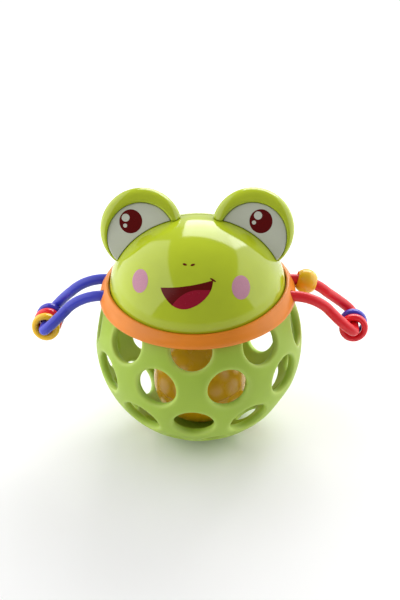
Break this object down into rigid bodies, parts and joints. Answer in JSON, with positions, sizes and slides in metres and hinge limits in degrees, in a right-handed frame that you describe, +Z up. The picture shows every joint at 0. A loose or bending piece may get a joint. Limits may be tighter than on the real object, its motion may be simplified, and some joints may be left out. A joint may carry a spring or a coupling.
{
  "type": "baby rattle ball",
  "caption": "Soft openwork rattle ball with a frog's head, an orange collar, a tube loop with loose beads on each side, and a hard rattle ball inside.",
  "frame": {"origin": "on the floor under the ball's axis, in the middle of the overall box", "axes": "+Z up, +X towards the red loop, so the frog's face looks along -Y"},
  "size_m": [0.1614, 0.0998, 0.1215],
  "materials": {
    "soft_green": "satin soft moulded rubber",
    "head_green": "glossy moulded plastic",
    "orange": "satin moulded plastic",
    "white": "satin moulded plastic",
    "blue": "satin soft tube",
    "red": "satin soft tube",
    "yellow": "glossy moulded plastic",
    "red_bead": "glossy moulded plastic",
    "blue_bead": "glossy moulded plastic",
    "amber": "glossy moulded plastic",
    "inner": "plain moulded plastic",
    "steel": "plated"
  },
  "bodies": {
    "toy": {"ball_body": "soft_green", "collar": "orange", "head_dome": "head_green", "head_base_plate": "inner", "clamp_ring": "inner", "clamp_screw_1": "steel", "clamp_screw_2": "steel", "clamp_screw_3": "steel", "clamp_screw_4": "steel", "eye_front_left": "head_green", "eye_back_left": "head_green", "eye_white_left": "white", "eye_front_right": "head_green", "eye_back_right": "head_green", "eye_white_right": "white", "arm_loop_left": "blue", "arm_loop_right": "red"},
    "rattle": {"rattle_shell_lower": "amber", "rattle_shell_upper": "amber"},
    "pellet_1": {"pellet_1": "inner"},
    "pellet_2": {"pellet_2": "inner"},
    "pellet_3": {"pellet_3": "inner"},
    "left_ring_yellow": {"left_ring_yellow": "yellow"},
    "left_ring_red": {"left_ring_red": "red_bead"},
    "left_ring_blue": {"left_ring_blue": "blue_bead"},
    "right_ring_red": {"right_ring_red": "red_bead"},
    "right_ring_blue": {"right_ring_blue": "blue_bead"},
    "round_bead": {"round_bead_yellow": "yellow"}
  },
  "joints": [
    {"name": "rattle_roll", "type": "hinge", "parent": "toy", "child": "rattle", "pos_m": [0, 0, 0.0485], "axis": [1, 0, 0], "range_deg": [-80, 80]},
    {"name": "pellet_1_hop", "type": "slide", "parent": "rattle", "child": "pellet_1", "axis": [0, 0, 1], "range_m": [0, 0.035]},
    {"name": "pellet_2_hop", "type": "slide", "parent": "rattle", "child": "pellet_2", "axis": [0, 0, 1], "range_m": [0, 0.035]},
    {"name": "pellet_3_hop", "type": "slide", "parent": "rattle", "child": "pellet_3", "axis": [0, 0, 1], "range_m": [0, 0.035]},
    {"name": "left_ring_yellow_spin", "type": "hinge", "parent": "toy", "child": "left_ring_yellow", "pos_m": [-0.07358, -0.0047, 0.0582], "axis": [-0.0999, -0.973, 0.208], "continuous": true},
    {"name": "left_ring_red_spin", "type": "hinge", "parent": "toy", "child": "left_ring_red", "pos_m": [-0.07313, -0.00025, 0.0582], "axis": [-0.0999, -0.973, 0.208], "continuous": true},
    {"name": "left_ring_blue_spin", "type": "hinge", "parent": "toy", "child": "left_ring_blue", "pos_m": [-0.07267, 0.0042, 0.0582], "axis": [-0.0999, -0.973, 0.208], "continuous": true},
    {"name": "right_ring_red_slide", "type": "slide", "parent": "toy", "child": "right_ring_red", "axis": [0, 1, 0], "range_m": [0, 0.0044]},
    {"name": "right_ring_blue_slide", "type": "slide", "parent": "toy", "child": "right_ring_blue", "axis": [0, 1, 0], "range_m": [0, 0.0044]},
    {"name": "round_bead_slide", "type": "hinge", "parent": "toy", "child": "round_bead", "pos_m": [0.0446, 0.0075, 0.0538], "axis": [0, 1, 0], "range_deg": [0, 13]}
  ],
  "couplings": [
    {"joint": "right_ring_blue_slide", "follows": "right_ring_red_slide", "ratio": 1}
  ]
}
